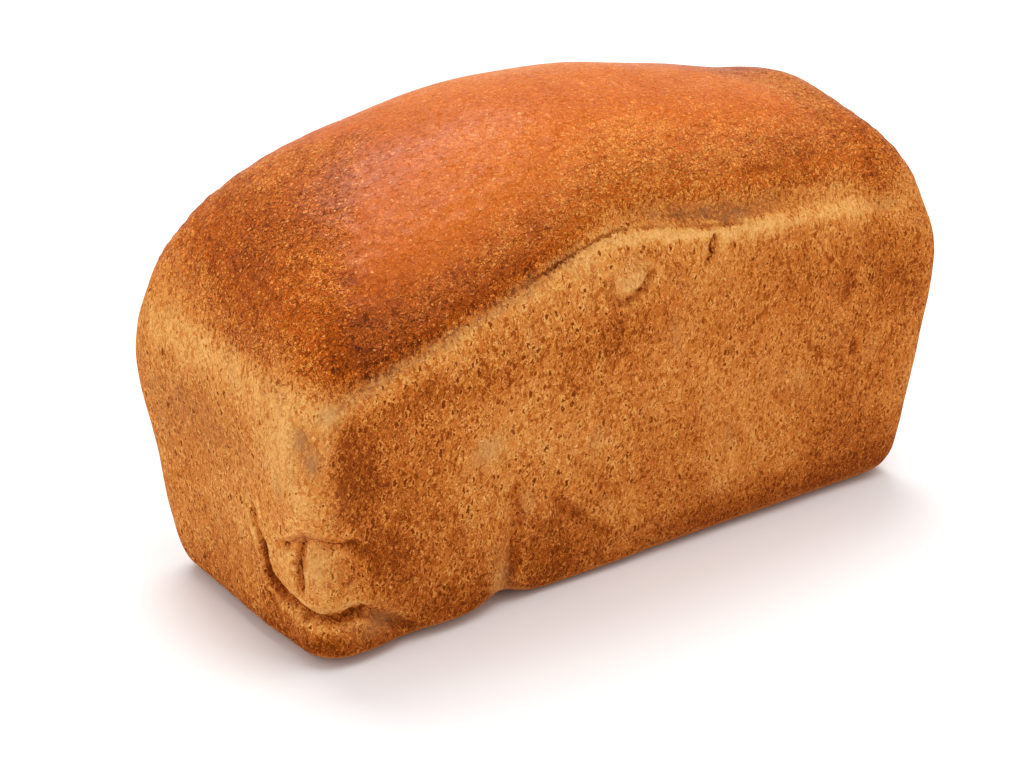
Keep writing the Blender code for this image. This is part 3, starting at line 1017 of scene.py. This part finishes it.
@dataclass(frozen=True)
class CrustFinish:
    """The colours and gloss of baked bread crust, with painted shade in its pits, folds' gaps and
    slit and painted highlight on its pits' rims.
    """

    wall_stops: tuple = (
        (0.00, (0.90, 0.47, 0.150, 1)),
        (0.22, (0.80, 0.36, 0.085, 1)),
        (0.45, (0.68, 0.230, 0.042, 1)),
        (0.62, (0.54, 0.140, 0.018, 1)),
        (0.80, (0.35, 0.074, 0.006, 1)),
        (1.00, (0.20, 0.036, 0.002, 1)),
    )
    dome_stops: tuple = (
        (0.00, (0.92, 0.36, 0.070, 1)),
        (0.14, (0.80, 0.222, 0.026, 1)),
        (0.28, (0.69, 0.150, 0.013, 1)),
        (0.45, (0.56, 0.109, 0.005, 1)),
        (0.65, (0.39, 0.067, 0.002, 1)),
        (0.85, (0.23, 0.039, 0.001, 1)),
        (1.00, (0.13, 0.023, 0.001, 1)),
    )
    # Painted shade in the folds' gaps and the slit
    gap_shade_color: tuple = (0.11, 0.024, 0.003, 1)
    speck_color: tuple = (0.95, 0.42, 0.13, 1)
    raw_color: tuple = (0.50, 0.255, 0.095, 1)
    under_color: tuple = (0.50, 0.18, 0.05, 1)
    wall_roughness: float = 0.85
    dome_roughness: float = 0.48
    coat_share: float = 0.34
    coat_roughness: float = 0.34
    specular: float = 0.05
    wall_stretch: tuple = (1.0, 1.0, 0.46)
    dome_stretch: tuple = (0.85, 1.5, 1.9)
    bend: float = 0.0021
    bend_scale: float = 900.0
    wall_fibre: tuple[float, float] = (950.0, 0.08)
    dome_fibre: tuple[float, float] = (640.0, 0.07)
    pits: tuple[float, ...] = (560.0, 0.21, 0.30, 0.40)
    specks: tuple[float, ...] = (540.0, 0.24, 0.26, 0.20)
    wrinkle_scale: float = 300.0
    dome_range: tuple[float, float] = (-0.75, 0.65)
    frayed_by_dome: float = 1.8
    frayed_by_wall: float = 1.2
    # Where the slit under the torn crust and the folds' gaps are painted dark as shade
    slit_place: float = 0.3
    slit_fray: float = 3.0
    slit_range: tuple[float, float] = (0.9, 0.1)
    gap_fray: float = 0.8
    gap_range: tuple[float, float] = (0.62, 0.92)
    wall_level: float = 0.59
    dome_level: float = 0.485
    high_range: tuple[float, float] = (0.8, 3.0)
    rough_range: tuple[float, float] = (8.0, 2.0)
    sheen_range: tuple[float, float] = (1.0, 6.0)
    least_detail: float = 0.8
    least_fold: float = 0.3
    speck_share: float = 0.35
    raw_share: float = 0.75
    # How far the gaps' painted shade goes towards its dark colour
    gap_shade_share: float = 0.6

    def make(self) -> bpy.types.Material:
        """Builds the material.

        Returns:
            The crust's material, which reads the skin's values and Object coordinates.
        """
        material = bpy.data.materials.new("bread_crust")
        material.use_nodes = True
        bench = NodeBench(material.node_tree)
        shader = material.node_tree.nodes["Principled BSDF"]
        shader.inputs["Specular IOR Level"].default_value = self.specular
        shader.inputs["Coat Roughness"].default_value = self.coat_roughness
        place = bench.add("ShaderNodeTexCoord").outputs["Object"]
        spots, fibres = spots_group(), fibres_group()
        rise = bench.read("rise")

        bends = bench.noise(place, self.bend_scale, 1.0, roughness=0.5)
        bent = bench.add("ShaderNodeVectorMath", operation="MULTIPLY_ADD")
        bench.feed(bent.inputs[0], bends.outputs["Color"])
        bent.inputs[1].default_value = (self.bend, self.bend, self.bend)
        bench.feed(bent.inputs[2], place)
        on_wall = bench.stretch(bent.outputs[0], self.wall_stretch)
        on_dome = bench.stretch(bent.outputs[0], self.dome_stretch)

        scale, width = self.dome_fibre
        dome_fibres = bench.group(fibres, Vector=on_dome, Scale=scale, Width=width)
        dome_line, dome_wave = dome_fibres.outputs["Line"], dome_fibres.outputs["Wave"]
        scale, width = self.wall_fibre
        wall_fibres = bench.group(fibres, Vector=on_wall, Scale=scale, Width=width)
        wall_line, wall_wave = wall_fibres.outputs["Line"], wall_fibres.outputs["Wave"]
        frayed = bench.scaled_sum(
            (rise, 1.0), (dome_wave, self.frayed_by_dome), (wall_wave, self.frayed_by_wall)
        )
        dome = bench.remap(frayed, *self.dome_range)

        scale, least, spread, faint = self.pits
        pits = bench.group(
            spots, Vector=on_wall, Scale=scale, Least=least, Spread=spread, Faint=faint
        )
        # Pits: carved by the bump, and painted darker inside as shade, with a painted highlight
        # on their rims
        porous = bench.math("MULTIPLY", bench.math("SUBTRACT", 1.0, dome), bench.read("pores"))
        pit = bench.math("MULTIPLY", pits.outputs["Spot"], porous)
        rim = bench.math("MULTIPLY", pits.outputs["Rim"], porous)
        # The slit under the torn crust and the folds' gaps, painted dark as shade
        torn_edge = bench.scaled_sum((bench.read("above"), 1.0), (wall_wave, self.slit_fray))
        off_edge = bench.math("ABSOLUTE", bench.math("SUBTRACT", torn_edge, self.slit_place))
        slit = bench.remap(off_edge, *self.slit_range)
        slit = bench.math("MULTIPLY", slit, bench.read("slit"))
        gap = bench.scaled_sum((bench.read("gap"), 1.0), (wall_wave, self.gap_fray))
        gap = bench.math("MAXIMUM", bench.remap(gap, *self.gap_range), slit)
        # The wall's tone: its baking, waves and fibres, with painted shade in the pits, slit and
        # gaps and a painted highlight on the pits' rims
        wall_tone = bench.scaled_sum(
            (bench.read("tone"), 0.44),
            (wall_wave, 0.62),
            (wall_line, -0.36),
            (rim, -0.34),
            (pit, 0.78),
            (gap, 0.55),
        )
        wall = bench.ramp(bench.math("ADD", wall_tone, self.wall_level), self.wall_stops)

        scale, least, spread, faint = self.specks
        specks = bench.group(
            spots, Vector=on_dome, Scale=scale, Least=least, Spread=spread, Faint=faint
        )
        speck = specks.outputs["Spot"]
        high = bench.remap(rise, *self.high_range)
        crust_wave = bench.blend(high, wall_wave, dome_wave)
        crust_line = bench.blend(high, wall_line, dome_line)
        detail = bench.scaled_sum((crust_wave, 0.40), (crust_line, -0.34), (speck, -0.42))
        rough = bench.remap(rise, *self.rough_range)
        detail = bench.math("MULTIPLY", detail, bench.math("ADD", rough, self.least_detail))
        # The gaps' painted shade also darkens the dome's tone
        dome_tone = bench.scaled_sum(
            (bench.read("baked"), 0.42), (detail, 1.0), (rough, 0.07), (gap, 0.4)
        )
        top = bench.ramp(bench.math("ADD", dome_tone, self.dome_level), self.dome_stops)
        top = bench.mix(bench.math("MULTIPLY", speck, self.speck_share), top, self.speck_color)

        color = bench.mix(dome, wall, top)
        # Raw colour is kept out of the painted shade in the pits and gaps
        sound = bench.math("SUBTRACT", 1.0, bench.math("MAXIMUM", pit, gap))
        raw = bench.math("MULTIPLY", bench.read("raw"), self.raw_share)
        color = bench.mix(bench.math("MULTIPLY", raw, sound), color, self.raw_color)
        # Painted shade: the folds' gaps and the slit are mixed towards a dark shade colour
        color = bench.mix(bench.math("MULTIPLY", gap, self.gap_shade_share), color, self.gap_shade_color)
        color = bench.mix(bench.read("under"), color, self.under_color)
        bench.feed(shader.inputs["Base Color"], color)
        gloss = bench.scaled_sum((dome, self.dome_roughness - self.wall_roughness))
        bench.feed(shader.inputs["Roughness"], bench.math("ADD", gloss, self.wall_roughness))
        wrinkle = bench.noise(on_dome, self.wrinkle_scale, 2.0).outputs["Fac"]
        wrinkle = bench.math("SUBTRACT", wrinkle, 0.5)
        broken = bench.scaled_sum((dome_wave, -2.0), (wrinkle, 2.4), (speck, 0.8))
        sheen = bench.math("MULTIPLY", bench.remap(rise, *self.sheen_range), self.coat_share)
        sheen = bench.math("MULTIPLY", sheen, bench.math("ADD", broken, 1.0))
        bench.feed(shader.inputs["Coat Weight"], sheen)

        wall_height = bench.scaled_sum((wall_wave, -0.0008), (pit, -0.00012), (wall_line, 0.0001))
        fold = bench.math("MULTIPLY", wrinkle, bench.math("ADD", rough, self.least_fold))
        dome_height = bench.scaled_sum(
            (crust_wave, -0.0005), (crust_line, 0.00008), (speck, 0.00012), (fold, 0.0034)
        )
        bump = bench.add("ShaderNodeBump")
        bump.inputs["Strength"].default_value = 1.0
        bump.inputs["Distance"].default_value = 1.0
        bench.feed(bump.inputs["Height"], bench.blend(dome, wall_height, dome_height))
        bench.feed(shader.inputs["Normal"], bump.outputs["Normal"])
        return material


@dataclass(frozen=True)
class SoftLight:
    """A wide soft light, with where it comes from, its width in degrees and its strength."""

    name: str
    source: tuple[float, float, float]
    spread: float
    strength: float

    def build(self) -> None:
        """Adds the light."""
        data = bpy.data.lights.new(self.name, "SUN")
        data.angle = math.radians(self.spread)
        data.energy = self.strength
        light = bpy.data.objects.new(self.name, data)
        light.rotation_euler = Vector(self.source).to_track_quat("Z", "Y").to_euler()
        bpy.context.scene.collection.objects.link(light)


@dataclass
class Studio:
    """A pale floor, soft light from overhead and the camera."""

    azimuth: float = math.radians(-35.9679)
    elevation: float = math.radians(23.7818)
    distance: float = 0.8039
    look_height: float = 0.06
    look_right: float = -0.0120
    look_up: float = -0.0111
    sensor: float = 36.0
    lens: float = 87.0
    floor_size: float = 12.0
    floor_color: tuple = (0.93, 0.93, 0.935, 1.0)
    floor_roughness: float = 0.9
    floor_specular: float = 0.1
    world_color: tuple = (1.0, 1.0, 1.0, 1.0)
    world_strength: float = 0.50
    lights: tuple[SoftLight, ...] = (
        SoftLight("overhead", (0.13, 0.41, 0.90), 42.0, 1.78),
        SoftLight("gloss", (0.15, -0.28, 0.95), 34.0, 0.98),
        SoftLight("front_gloss", (0.46, -0.74, 0.49), 44.0, 0.16),
        SoftLight("left_fill", (-0.85, -0.10, 0.50), 60.0, 0.66),
    )

    def build(self) -> None:
        """Makes the floor, the lights, the world and the camera."""
        self._floor()
        self._world()
        for light in self.lights:
            light.build()
        self._camera()
        bpy.context.scene.view_settings.view_transform = "Standard"

    def _floor(self) -> None:
        """Makes the pale floor that the loaf stands on."""
        work = bmesh.new()
        bmesh.ops.create_grid(work, x_segments=1, y_segments=1, size=self.floor_size / 2)
        mesh = bpy.data.meshes.new("floor")
        work.to_mesh(mesh)
        work.free()
        floor = bpy.data.objects.new("floor", mesh)
        material = bpy.data.materials.new("pale_floor")
        material.use_nodes = True
        shader = material.node_tree.nodes["Principled BSDF"]
        shader.inputs["Base Color"].default_value = self.floor_color
        shader.inputs["Roughness"].default_value = self.floor_roughness
        shader.inputs["Specular IOR Level"].default_value = self.floor_specular
        mesh.materials.append(material)
        bpy.context.scene.collection.objects.link(floor)

    def _world(self) -> None:
        """Lights everything evenly from all round."""
        world = bpy.data.worlds.new("studio")
        world.use_nodes = True
        sky = world.node_tree.nodes["Background"]
        sky.inputs["Color"].default_value = self.world_color
        sky.inputs["Strength"].default_value = self.world_strength
        bpy.context.scene.world = world

    def _camera(self) -> None:
        """Sets the camera to the photo's viewing angle."""
        back = Vector(
            (
                math.sin(self.azimuth) * math.cos(self.elevation),
                -math.cos(self.azimuth) * math.cos(self.elevation),
                math.sin(self.elevation),
            )
        )
        right = Vector((math.cos(self.azimuth), math.sin(self.azimuth), 0))
        up = back.cross(right)
        target = right * self.look_right + up * self.look_up
        target.z += self.look_height
        data = bpy.data.cameras.new("camera")
        data.sensor_width = self.sensor
        data.lens = self.lens
        camera = bpy.data.objects.new("camera", data)
        turned = Matrix((right, up, back)).transposed().to_4x4()
        turned.translation = target + back * self.distance
        camera.matrix_world = turned
        bpy.context.scene.collection.objects.link(camera)
        bpy.context.scene.camera = camera


def main() -> None:
    """Builds the loaf's skin, its finish and the studio."""
    logging.basicConfig(level=logging.INFO, format="%(name)s: %(message)s")
    Studio().build()
    skin = LoafSkin().build()
    skin.data.materials.append(CrustFinish().make())
    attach(skin, "root")
    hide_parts(LOAF_NODE)
    skin.data.calc_loop_triangles()
    LOG.info("%s: %d triangles", skin.name, len(skin.data.loop_triangles))


if __name__ == "__main__":
    main()
